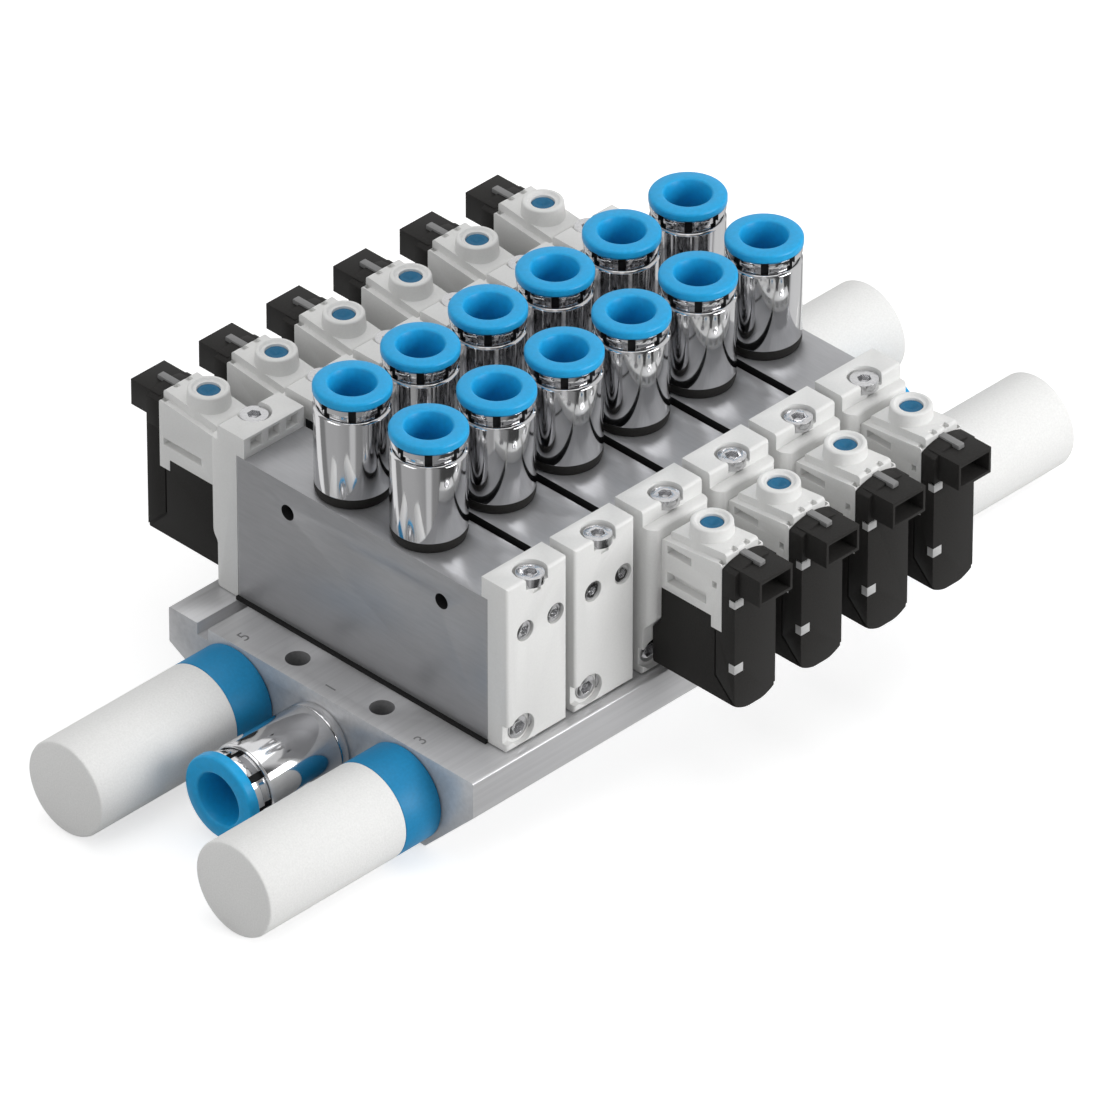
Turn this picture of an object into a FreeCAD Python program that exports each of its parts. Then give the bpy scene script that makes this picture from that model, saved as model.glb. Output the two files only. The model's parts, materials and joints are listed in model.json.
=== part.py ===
import FreeCAD, Part
import os

from FreeCAD import Vector

# Pneumatic valve island: six spool valves side by side on one supply rail.
# X runs along the rail, Y across it and Z up. The origin is the middle of the rail's foot.
# The front is the side with negative Y, the near end is the one with negative X.
# Every size is in millimetres.

os.makedirs("parts", exist_ok=True)

# Stations along the rail
station_count = 6
station_pitch = 22.0
spring_return_stations = 2
rail_end_margin = 12.5

# Rail section, an extrusion with sloping undersides
rail_side_margin = 9.0
rail_height = 25.5
rail_edge_height = 9.8
rail_front_overhang = 15.7
rail_back_overhang = 16.0
rail_back_rise = 12.3
rail_back_flank = 6.0
rail_back_ledge = 5.0
rail_back_ledge_drop = 0.8
rail_edge_radius = 0.5
rail_groove_setback = 13.1
rail_groove_width = 3.6
rail_groove_depth = 3.3

# Galleries and ports of the rail
gallery_height = 12.6
gallery_diameter = 14.0
end_port_diameter = 16.6
end_port_depth = 13.0
exhaust_setback = 13.3
rail_port_diameter = 7.0
mounting_hole_diameter = 6.0
mounting_hole_end_distance = 6.5

# Valve body
body_width = 19.6
body_length = 82.0
body_height = 39.35
body_edge_radius = 0.5
gasket_thickness = 0.9
gasket_overhang = 0.75
gasket_margin = 0.05
spool_axis_height = 20.35
work_port_offset = 12.4
side_hole_diameter = 4.0
side_hole_drop = 7.8
side_hole_back_y = 24.1
side_hole_front_y = 26.2

# Spool, its seals and its pistons
spool_diameter = 8.9
spool_waist_diameter = 6.0
spool_stroke = 3.0
spool_end_gap = 4.5
spool_chamfer = 0.5
running_clearance = 0.05
seal_width = 2.0
seal_outer_diameter = 12.0
seal_lip = 0.3
seal_port_gap = 4.9
chamber_diameter = 11.2
chamber_width = 6.4
piston_diameter = 14.9
piston_thickness = 2.2
piston_lip = 0.4
piston_clearance = 0.5
return_spring_diameter = 7.2
return_spring_wire = 0.8
return_spring_turns = 4
return_spring_seat_depth = 1.2
return_spring_end_gap = 0.1

# Caps and pilot adapters at the ends of the valve bodies
cap_width = 19.4
cap_thickness = 6.3
cap_foot_clearance = 0.3
cap_rise = 5.55
cap_lip = 1.9
adapter_lip = 2.6
cap_edge_radius = 0.8
adapter_bulge = 9.5
adapter_foot_thickness = 6.6
adapter_foot_rise = 12.7
adapter_bulge_rise = 16.2
adapter_shoulder_drop = 4.2
adapter_corner_radius = 2.4
lip_pocket_width = 3.7
lip_pocket_pitch = 5.8
lip_pocket_height = 3.2
lip_pocket_rise = 1.65
lip_pocket_depth = 2.2

# Screws
top_screw_out = 4.0
top_screw_diameter = 3.0
top_screw_head_diameter = 6.8
top_screw_head_height = 2.4
top_screw_hex = 3.0
top_screw_hex_depth = 1.6
top_recess_diameter = 8.4
top_recess_depth = 3.0
top_notch_width = 2.5
top_notch_depth = 2.0
top_screw_rail_depth = 8.0
foot_screw_diameter = 3.0
foot_screw_head_diameter = 5.8
foot_screw_head_height = 3.0
foot_screw_head_show = 0.5
foot_screw_hex = 3.0
foot_screw_hex_depth = 2.0
foot_screw_rise = 4.4
foot_screw_cap_x = -4.9
foot_screw_adapter_x = -6.1
foot_recess_diameter = 8.0
foot_recess_depth = 1.6
foot_notch_height = 5.0
cap_screw_diameter = 2.5
cap_screw_head_diameter = 4.6
cap_screw_head_height = 1.4
cap_screw_hex = 2.0
cap_screw_hex_depth = 1.1
cap_screw_recess_diameter = 5.4
cap_screw_recess_depth = 1.8
cap_screw_left_x = -3.8
cap_screw_right_x = 6.0
cap_screw_drop = 14.1
screw_hole_clearance = 0.1
body_screw_depth = 7.0

# Pilot valves
pilot_width = 13.5
pilot_length = 19.3
pilot_floor = 24.1
pilot_inner_height = 13.6
pilot_outer_height = 15.6
pilot_foot_length = 3.3
pilot_foot_drop = 3.1
pilot_crown_width = 10.4
pilot_crown_rise = 2.2
pilot_crown_setback = 1.6
pilot_edge_radius = 0.6
pilot_crown_radius = 0.8
pilot_crown_overlap = 1.0
pilot_slot_start = 1.9
pilot_slot_depth = 2.2
pilot_long_slot_length = 12.5
pilot_long_slot_height = 3.0
pilot_long_slot_rise = 2.3
pilot_short_slot_length = 7.7
pilot_short_slot_height = 2.2
pilot_short_slot_rise = 10.4
pilot_window_length = 1.4
pilot_window_height = 1.8
pilot_window_rise = 8.1
pilot_window_setback = 1.6
pilot_far_slot_start = 5.3
pilot_far_slot_setback = 1.4
pilot_far_slot_height = 2.0
pilot_far_slot_rise = 3.5
pilot_top_hole_size = 1.6
pilot_top_hole_depth = 1.2
pilot_top_hole_setback = 0.9
pilot_top_hole_inner_x = 2.0
pilot_top_hole_outer_x = 5.6
pilot_vent_diameter = 1.6
override_out = 9.6
tower_diameter = 10.0
tower_top = 20.4
tower_rim = 0.9
tower_rim_drop = 0.5
tower_flare = 0.6
override_diameter = 5.7
override_length = 8.0
override_sink = 0.9
override_travel = 1.2
override_floor_gap = 0.3
override_dimple_diameter = 3.6
override_dimple_depth = 0.7
override_chamfer = 0.3

# Solenoid coils
coil_side_rise = 2.1
coil_sag = 2.2
coil_back_gap = 0.3
coil_corner_radius = 3.5
coil_front_radius = 0.4
coil_length = 26.2
coil_shoulder = 31.8
coil_step_gap = 0.4
coil_seat_gap = 0.1
dome_length = 3.1
dome_side_rise = 6.8
dome_rise = 10.3
seam_width = 0.5
seam_depth = 0.4
seam_inset = 1.5
seam_bend_rise = 8.5
armature_diameter = 6.0
armature_length = 13.4
armature_clearance = 0.1
armature_bore_depth = 17.4
armature_chamfer = 0.5
core_tab_width = 2.9
core_tab_height = 2.5
core_tab_depth = 1.9
core_tab_low_rise = 10.1

# Electrical sockets on the coils
socket_block_width = 9.7
socket_block_lift = 1.6
socket_block_height = 6.2
socket_block_reach = 6.5
socket_side_wall = 0.55
socket_floor_wall = 0.8
socket_edge_radius = 0.4
socket_depth = 8.0
pin_size = 0.8
pin_length = 3.6
pin_pitch = 4.0
latch_width = 1.8
latch_height = 1.1
latch_length = 3.4
latch_head_width = 2.8
latch_head_length = 1.2
latch_radius = 0.4

# Push-in fittings of the work ports, for tubes of 10 mm
work_tube = 10.0
work_barrel = 18.2
work_neck = 16.6
work_ring = 18.6
work_funnel = 11.4
work_thread = 9.7
work_thread_length = 8.0
work_passage = 6.0
work_base_height = 2.75
work_barrel_height = 21.1
work_gap = 1.7
work_lip = 1.8
work_ring_height = 2.4

# Push-in fittings of the supply ports, for tubes of 12 mm
supply_tube = 12.0
supply_barrel = 20.5
supply_neck = 18.8
supply_ring = 22.0
supply_funnel = 13.6
supply_thread_length = 11.0
supply_passage = 9.0
supply_base_height = 3.0
supply_barrel_height = 22.0
supply_gap = 2.6
supply_lip = 2.2
supply_ring_height = 3.2

# What both sizes of push-in fitting share
tube_clearance = 0.1
release_travel = 1.6
sleeve_reach = 3.9
sleeve_skirt = 2.0
sleeve_notches = 8
sleeve_notch_width = 1.8
stub_flange_step = 0.9
stub_flange_height = 0.8
o_ring_section = 1.8
socket_chamfer = 0.2
thread_chamfer = 0.6
ring_chamfer = 0.3
funnel_depth = 2.2
metal_sleeve_wall = 0.9
base_ring_taper = 0.3
collet_play = 0.2
collet_edge_gap = 0.15
collet_height = 1.9
collet_sheet = 0.4
collet_teeth = 8
collet_slot_width = 0.8
sleeve_floor_gap = 0.3
barrel_chamfer = 0.4
thread_clearance = 0.05

# Silencers
silencer_diameter = 24.6
silencer_collar_length = 11.5
silencer_body_length = 43.6
silencer_bore = 15.0
silencer_wall_end = 5.0
silencer_spigot_length = 5.0
silencer_passage = 11.0
silencer_thread_length = 11.0
silencer_edge_radius = 0.8
collar_edge_radius = 0.4

# Levels and places that follow from the sizes above
rail_length = station_count * station_pitch + 2 * rail_end_margin
rail_end = rail_length / 2
rail_width = body_length + 2 * rail_side_margin
body_bottom = rail_height + gasket_thickness
body_top = body_bottom + body_height
body_end = body_length / 2
exhaust_offset = body_end - exhaust_setback
spool_axis = body_bottom + spool_axis_height
cap_bottom = rail_height + cap_foot_clearance
cap_top = body_top + cap_rise
top_screw_y = body_end + top_screw_out
adapter_face = body_end + adapter_bulge
pilot_bottom = body_bottom + pilot_floor
pilot_end = adapter_face + pilot_length
override_y = adapter_face + override_out
tower_height = pilot_bottom + tower_top
coil_side_bottom = body_bottom + coil_side_rise
coil_bottom = coil_side_bottom - coil_sag
coil_end = body_end + adapter_foot_thickness + coil_back_gap + coil_length
coil_top = body_bottom + coil_shoulder
socket_bottom = coil_top + socket_block_lift
socket_top = socket_bottom + socket_block_height
foot_head_seat = (body_end + cap_thickness - foot_recess_depth
                  + foot_screw_head_show - foot_screw_head_height)
bore_radius = spool_diameter / 2 + running_clearance
inner_seal = work_port_offset / 2
middle_seal = (work_port_offset + exhaust_offset) / 2
outer_seal = exhaust_offset + seal_port_gap
spool_half_length = body_end - spool_end_gap
spool_rest_shift = spool_stroke / 2
counterbore_floor = spool_half_length - spool_rest_shift - piston_clearance


def station_x(number):
    """Middle of a station, counted from 1 at the near end."""
    return (number - (station_count + 1) / 2) * station_pitch


def rounded_face(corners, place):
    """A flat face whose corners are (u, v) or (u, v, radius), set in space by place(u, v)."""
    count = len(corners)
    starts = []
    ends = []
    middles = []
    for index in range(count):
        corner = corners[index]
        point = Vector(corner[0], corner[1], 0)
        radius = corner[2] if len(corner) > 2 else 0.0
        if radius == 0.0:
            starts.append(point)
            ends.append(point)
            middles.append(None)
            continue
        before = corners[index - 1]
        after = corners[(index + 1) % count]
        back = (Vector(before[0], before[1], 0) - point).normalize()
        ahead = (Vector(after[0], after[1], 0) - point).normalize()
        middle_way = (back + ahead).normalize()
        cosine = middle_way.dot(back)
        sine = middle_way.cross(back).Length
        reach = radius * cosine / sine
        centre = point + middle_way * (radius / sine)
        starts.append(point + back * reach)
        ends.append(point + ahead * reach)
        middles.append(centre - middle_way * radius)
    edges = []
    for index in range(count):
        if middles[index] is not None:
            arc_points = [starts[index], middles[index], ends[index]]
            arc = Part.Arc(*[place(p.x, p.y) for p in arc_points])
            edges.append(arc.toShape())
        here = ends[index]
        there = starts[(index + 1) % count]
        if (there - here).Length > 1e-6:
            line = Part.LineSegment(place(here.x, here.y), place(there.x, there.y))
            edges.append(line.toShape())
    return Part.Face(Part.Wire(edges))


def front_profile(corners, x_low, x_high):
    """Extrudes a section of (distance out from the middle, height) along X, on the front side."""
    face = rounded_face(corners, lambda out, height: Vector(x_low, -out, height))
    return face.extrude(Vector(x_high - x_low, 0, 0))


def plan_profile(corners, z_low, z_high):
    """Extrudes an outline of (x, y) upwards."""
    face = rounded_face(corners, lambda x, y: Vector(x, y, z_low))
    return face.extrude(Vector(0, 0, z_high - z_low))


def turned(corners):
    """Revolves a section of (radius, height) about Z."""
    face = rounded_face(corners, lambda radius, height: Vector(radius, 0, height))
    return face.revolve(Vector(0, 0, 0), Vector(0, 0, 1), 360)


def along_y(shape):
    """Turns a shape built along Z to lie along Y."""
    result = shape.copy()
    result.rotate(Vector(0, 0, 0), Vector(1, 0, 0), -90)
    return result


def along_x(shape):
    """Turns a shape built along Z to lie along X."""
    result = shape.copy()
    result.rotate(Vector(0, 0, 0), Vector(0, 1, 0), 90)
    return result


def moved(shape, x=0.0, y=0.0, z=0.0):
    result = shape.copy()
    result.translate(Vector(x, y, z))
    return result


def half_turn(shape):
    """A copy turned half round about Z, which takes a front piece to the back."""
    result = shape.copy()
    result.rotate(Vector(0, 0, 0), Vector(0, 0, 1), 180)
    return result


def all_round(shape, count):
    """Copies of a shape spaced evenly about Z."""
    copies = []
    for step in range(count):
        result = shape.copy()
        result.rotate(Vector(0, 0, 0), Vector(0, 0, 1), step * 360 / count)
        copies.append(result)
    return copies


def block(x_low, x_high, y_low, y_high, z_low, z_high):
    size = (x_high - x_low, y_high - y_low, z_high - z_low)
    return Part.makeBox(*size, Vector(x_low, y_low, z_low))


def front_block(x_low, x_high, out_low, out_high, z_low, z_high):
    return block(x_low, x_high, -out_high, -out_low, z_low, z_high)


def upright(diameter, x, y, z_low, z_high):
    return Part.makeCylinder(diameter / 2, z_high - z_low, Vector(x, y, z_low))


def crosswise(diameter, y, z, x_low, x_high):
    return Part.makeCylinder(diameter / 2, x_high - x_low, Vector(x_low, y, z), Vector(1, 0, 0))


def outward(diameter, x, z, out_low, out_high):
    """A front cylinder that lies along Y, from one distance out to another."""
    start = Vector(x, -out_high, z)
    return Part.makeCylinder(diameter / 2, out_high - out_low, start, Vector(0, 1, 0))


def hexagon(across_flats, depth):
    radius = across_flats / 3 ** 0.5
    corner = Vector(radius, 0, 0)
    turn = FreeCAD.Rotation(Vector(0, 0, 1), 60)
    points = [corner]
    for _ in range(6):
        corner = turn.multVec(corner)
        points.append(corner)
    return Part.Face(Part.makePolygon(points)).extrude(Vector(0, 0, depth))


def save(name, solids):
    shape = solids[0] if len(solids) == 1 else Part.makeCompound(solids)
    shape.exportStep("parts/" + name + ".step")


stations = range(1, station_count + 1)
front_pilot_stations = range(spring_return_stations + 1, station_count + 1)
front_cap_stations = range(1, spring_return_stations + 1)


def on_all_pilots(front_piece):
    """Copies of a front piece at every pilot valve: all stations at the back, some at the front."""
    back = [moved(half_turn(front_piece), x=station_x(n)) for n in stations]
    front = [moved(front_piece, x=station_x(n)) for n in front_pilot_stations]
    return back + front


# The rail carries the valves and holds the supply gallery and the two exhaust galleries.
def manifold_rail():
    half = rail_width / 2
    edge_bottom = rail_height - rail_edge_height
    front_foot = half - rail_front_overhang
    back_foot = half - rail_back_overhang
    flank_y = back_foot + rail_back_flank
    ledge_y = flank_y + rail_back_ledge
    ledge_z = rail_back_rise + rail_back_ledge_drop
    section = [
        (-half, rail_height, rail_edge_radius),
        (-half, edge_bottom, rail_edge_radius),
        (-front_foot, 0.0, rail_edge_radius),
        (back_foot, 0.0, rail_edge_radius),
        (flank_y, rail_back_rise),
        (ledge_y, ledge_z),
        (half, edge_bottom, rail_edge_radius),
        (half, rail_height, rail_edge_radius),
    ]
    face = rounded_face(section, lambda y, z: Vector(-rail_end, y, z))
    rail = face.extrude(Vector(rail_length, 0, 0))
    groove_start = half - rail_groove_setback
    groove_end = groove_start + rail_groove_width
    groove_floor = rail_height - rail_groove_depth
    cuts = [block(-rail_end, rail_end, groove_start, groove_end, groove_floor, rail_height)]
    for y in (-exhaust_offset, 0.0, exhaust_offset):
        cuts.append(crosswise(gallery_diameter, y, gallery_height, -rail_end, rail_end))
        for start in (-rail_end, rail_end - end_port_depth):
            end = start + end_port_depth
            cuts.append(crosswise(end_port_diameter, y, gallery_height, start, end))
        for n in stations:
            cuts.append(upright(rail_port_diameter, station_x(n), y, gallery_height, rail_height))
    for n in stations:
        for y in (-top_screw_y, top_screw_y):
            floor = rail_height - top_screw_rail_depth
            hole = top_screw_diameter + 2 * thread_clearance
            cuts.append(upright(hole, station_x(n), y, floor, rail_height))
    hole_x = rail_end - mounting_hole_end_distance
    for x in (-hole_x, hole_x):
        for y in (-exhaust_offset / 2, exhaust_offset / 2):
            cuts.append(upright(mounting_hole_diameter, x, y, 0.0, rail_height))
    return rail.cut(cuts)


def base_gasket():
    half_x = body_width / 2 + gasket_overhang
    half_y = body_end - gasket_margin
    sheet = block(-half_x, half_x, -half_y, half_y, rail_height, body_bottom)
    holes = [
        upright(rail_port_diameter, 0.0, y, rail_height, body_bottom)
        for y in (-exhaust_offset, 0.0, exhaust_offset)
    ]
    return sheet.cut(holes)


# The spool bore is one turned cut: five port chambers, six seal grooves and two piston bores.
def spool_bore_cutter():
    chamber = chamber_diameter / 2
    groove = seal_outer_diameter / 2
    steps = []
    for port in (-exhaust_offset, -work_port_offset, 0.0, work_port_offset, exhaust_offset):
        steps.append((port, chamber_width, chamber))
    for place in (inner_seal, middle_seal, outer_seal):
        steps.append((place, seal_width, groove))
        steps.append((-place, seal_width, groove))
    steps.sort()
    corners = [(0.0, -body_end), (piston_diameter / 2 + running_clearance, -body_end)]
    corners.append((piston_diameter / 2 + running_clearance, -counterbore_floor))
    corners.append((bore_radius, -counterbore_floor))
    for middle, width, radius in steps:
        corners.append((bore_radius, middle - width / 2))
        corners.append((radius, middle - width / 2))
        corners.append((radius, middle + width / 2))
        corners.append((bore_radius, middle + width / 2))
    corners.append((bore_radius, counterbore_floor))
    corners.append((piston_diameter / 2 + running_clearance, counterbore_floor))
    corners.append((piston_diameter / 2 + running_clearance, body_end))
    corners.append((0.0, body_end))
    return moved(along_y(turned(corners)), z=spool_axis)


def valve_body(with_front_cap):
    half = body_width / 2
    outline = [
        (-half, -body_end, body_edge_radius),
        (half, -body_end, body_edge_radius),
        (half, body_end, body_edge_radius),
        (-half, body_end, body_edge_radius),
    ]
    body = plan_profile(outline, body_bottom, body_top)
    thread_floor = body_top - work_thread_length - thread_clearance
    thread_hole = work_thread + 2 * thread_clearance
    cuts = [spool_bore_cutter()]
    for y in (-work_port_offset, work_port_offset):
        cuts.append(upright(thread_hole, 0.0, y, thread_floor, body_top))
        cuts.append(upright(work_passage, 0.0, y, spool_axis, thread_floor))
    for y in (-exhaust_offset, 0.0, exhaust_offset):
        cuts.append(upright(rail_port_diameter, 0.0, y, body_bottom, spool_axis))
    for y in (-side_hole_front_y, side_hole_back_y):
        cuts.append(crosswise(side_hole_diameter, y, body_top - side_hole_drop, -half, half))
    foot_hole = foot_screw_diameter + 2 * thread_clearance
    foot_z = cap_bottom + foot_screw_rise
    floor = body_end - body_screw_depth
    foot_x = foot_screw_cap_x if with_front_cap else foot_screw_adapter_x
    cuts.append(outward(foot_hole, foot_x, foot_z, floor, body_end))
    cuts.append(half_turn(outward(foot_hole, foot_screw_adapter_x, foot_z, floor, body_end)))
    if with_front_cap:
        cap_hole = cap_screw_diameter + 2 * thread_clearance
        for x in (cap_screw_left_x, cap_screw_right_x):
            cuts.append(outward(cap_hole, x, cap_top - cap_screw_drop, floor, body_end))
    return body.cut(cuts)


# One spool with its two pistons. The land between two waists closes a seal, a waist opens it.
def spool_set(with_front_piston):
    land = spool_diameter / 2
    waist = spool_waist_diameter / 2
    chamfer = spool_chamfer
    corners = [(0.0, -spool_half_length), (land - chamfer, -spool_half_length)]
    corners.append((land, -spool_half_length + chamfer))
    for low, high in ((-middle_seal, -inner_seal), (inner_seal, middle_seal)):
        corners.append((land, low))
        corners.append((waist, low + chamfer))
        corners.append((waist, high - chamfer))
        corners.append((land, high))
    corners.append((land, spool_half_length - chamfer))
    corners.append((land - chamfer, spool_half_length))
    corners.append((0.0, spool_half_length))
    pieces = [turned(corners)]
    disc = piston_diameter / 2
    lip = piston_lip
    piston = turned([
        (0.0, 0.0),
        (disc, 0.0),
        (disc, lip),
        (disc - lip, 2 * lip),
        (disc - lip, piston_thickness - 2 * lip),
        (disc, piston_thickness - lip),
        (disc, piston_thickness),
        (0.0, piston_thickness),
    ])
    pieces.append(moved(piston, z=spool_half_length))
    if with_front_piston:
        pieces.append(moved(piston, z=-spool_half_length - piston_thickness))
    return [moved(along_y(piece), y=spool_rest_shift, z=spool_axis) for piece in pieces]


def spool_seals():
    inner = bore_radius
    outer = seal_outer_diameter / 2
    lip = seal_lip
    ring = turned([
        (inner, -lip),
        (inner, lip),
        (inner + lip, seal_width / 2 - thread_clearance),
        (outer, seal_width / 2 - thread_clearance),
        (outer, -seal_width / 2 + thread_clearance),
        (inner + lip, -seal_width / 2 + thread_clearance),
    ])
    rings = []
    for n in stations:
        for place in (inner_seal, middle_seal, outer_seal):
            for y in (-place, place):
                rings.append(moved(along_y(ring), x=station_x(n), y=y, z=spool_axis))
    return rings


# The spring pushes the spool of a single-solenoid valve back towards its pilot.
def return_spring():
    wire = return_spring_wire
    cap_end = body_end + return_spring_seat_depth - return_spring_end_gap
    spool_end = spool_half_length - spool_rest_shift + return_spring_end_gap
    height = cap_end - spool_end - wire
    mean_radius = (return_spring_diameter - wire) / 2
    helix = Part.makeLongHelix(height / return_spring_turns, height, mean_radius)
    section = Part.Circle(Vector(mean_radius, 0, 0), Vector(0, 1, 0), wire / 2).toShape()
    coil = Part.Wire(helix).makePipeShell([Part.Wire(section)], True, True)
    return moved(along_y(coil), y=-cap_end + wire / 2, z=spool_axis)


def top_screw_cuts():
    """Recess, notch and long hole of the screw that holds a cap or an adapter to the rail."""
    recess_floor = cap_top - top_recess_depth
    notch_floor = recess_floor - top_notch_depth
    face = body_end + cap_thickness
    half_notch = top_notch_width / 2
    notch_start = top_screw_y + top_screw_diameter / 2 + screw_hole_clearance
    hole = top_screw_diameter + 2 * screw_hole_clearance
    return [
        upright(top_recess_diameter, 0.0, -top_screw_y, recess_floor, cap_top),
        upright(hole, 0.0, -top_screw_y, cap_bottom, recess_floor),
        front_block(-half_notch, half_notch, notch_start, face, notch_floor, recess_floor),
    ]


def foot_screw_cuts(x, face):
    """Recess, side notch and stepped hole of the socket screw near the foot."""
    z = cap_bottom + foot_screw_rise
    recess_floor = face - foot_recess_depth
    half_notch = foot_notch_height / 2
    head_hole = foot_screw_head_diameter + 2 * screw_hole_clearance
    shank_hole = foot_screw_diameter + 2 * screw_hole_clearance
    return [
        outward(foot_recess_diameter, x, z, recess_floor, face),
        front_block(-cap_width / 2, x, recess_floor, face, z - half_notch, z + half_notch),
        outward(head_hole, x, z, foot_head_seat, face),
        outward(shank_hole, x, z, body_end, foot_head_seat),
    ]


def cap_plan(outer, lip, corner_radius):
    """Plan outline that rounds the upright outer edges of a cap or an adapter."""
    half = cap_width / 2
    inner = body_end - lip
    outline = [(-half, -inner), (-half, -outer, corner_radius)]
    outline += [(half, -outer, corner_radius), (half, -inner)]
    return plan_profile(outline, cap_bottom, cap_top)


def end_cap():
    half = cap_width / 2
    face = body_end + cap_thickness
    section = [
        (body_end, cap_bottom),
        (face, cap_bottom, cap_edge_radius),
        (face, cap_top, cap_edge_radius),
        (body_end - cap_lip, cap_top),
        (body_end - cap_lip, body_top),
        (body_end, body_top),
    ]
    plan = cap_plan(face, cap_lip, cap_edge_radius)
    cap = front_profile(section, -half, half).common(plan)
    seat = return_spring_diameter + 2 * screw_hole_clearance
    cuts = top_screw_cuts() + foot_screw_cuts(foot_screw_cap_x, face)
    cuts.append(outward(seat, 0.0, spool_axis, body_end, body_end + return_spring_seat_depth))
    screw_z = cap_top - cap_screw_drop
    shank = cap_screw_diameter + 2 * screw_hole_clearance
    for x in (cap_screw_left_x, cap_screw_right_x):
        floor = face - cap_screw_recess_depth
        cuts.append(outward(cap_screw_recess_diameter, x, screw_z, floor, face))
        cuts.append(outward(shank, x, screw_z, body_end, floor))
    return cap.cut(cuts)


def pilot_adapter():
    half = cap_width / 2
    top_face = body_end + cap_thickness
    foot_face = body_end + adapter_foot_thickness
    inner = body_end - adapter_lip
    shoulder = cap_top - adapter_shoulder_drop
    section = [
        (body_end, cap_bottom),
        (foot_face, cap_bottom, cap_edge_radius),
        (foot_face, cap_bottom + adapter_foot_rise, adapter_corner_radius),
        (adapter_face, cap_bottom + adapter_bulge_rise, adapter_corner_radius),
        (adapter_face, shoulder, cap_edge_radius),
        (top_face, shoulder),
        (top_face, cap_top, cap_edge_radius),
        (inner, cap_top),
        (inner, body_top),
        (body_end, body_top),
    ]
    plan = cap_plan(adapter_face, adapter_lip, adapter_corner_radius)
    adapter = front_profile(section, -half, half).common(plan)
    cuts = top_screw_cuts() + foot_screw_cuts(foot_screw_adapter_x, foot_face)
    pocket_floor = body_top + lip_pocket_rise
    for step in (-1, 0, 1):
        low = step * lip_pocket_pitch - lip_pocket_width / 2
        cuts.append(front_block(low, low + lip_pocket_width, inner, inner + lip_pocket_depth,
                                pocket_floor, pocket_floor + lip_pocket_height))
    return adapter.cut(cuts)


def top_screw():
    head_bottom = cap_top - top_recess_depth
    head_top = head_bottom + top_screw_head_height
    tip = rail_height - top_screw_rail_depth + screw_hole_clearance
    head = upright(top_screw_head_diameter, 0.0, -top_screw_y, head_bottom, head_top)
    shank = upright(top_screw_diameter, 0.0, -top_screw_y, tip, head_bottom)
    socket = hexagon(top_screw_hex, top_screw_hex_depth)
    socket = moved(socket, y=-top_screw_y, z=head_top - top_screw_hex_depth)
    return head.fuse(shank).removeSplitter().cut(socket)


def foot_screw(x):
    z = cap_bottom + foot_screw_rise
    tip = body_end - body_screw_depth + screw_hole_clearance
    head_face = foot_head_seat + foot_screw_head_height
    head = outward(foot_screw_head_diameter, x, z, foot_head_seat, head_face)
    shank = outward(foot_screw_diameter, x, z, tip, foot_head_seat)
    socket = moved(along_y(hexagon(foot_screw_hex, foot_screw_hex_depth)), x=x, y=-head_face, z=z)
    return head.fuse(shank).removeSplitter().cut(socket)


def cap_screw(x):
    floor = body_end + cap_thickness - cap_screw_recess_depth
    z = cap_top - cap_screw_drop
    tip = body_end - body_screw_depth + screw_hole_clearance
    head_face = floor + cap_screw_head_height
    head = outward(cap_screw_head_diameter, x, z, floor, head_face)
    shank = outward(cap_screw_diameter, x, z, tip, floor)
    socket = moved(along_y(hexagon(cap_screw_hex, cap_screw_hex_depth)), x=x, y=-head_face, z=z)
    return head.fuse(shank).removeSplitter().cut(socket)


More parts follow.
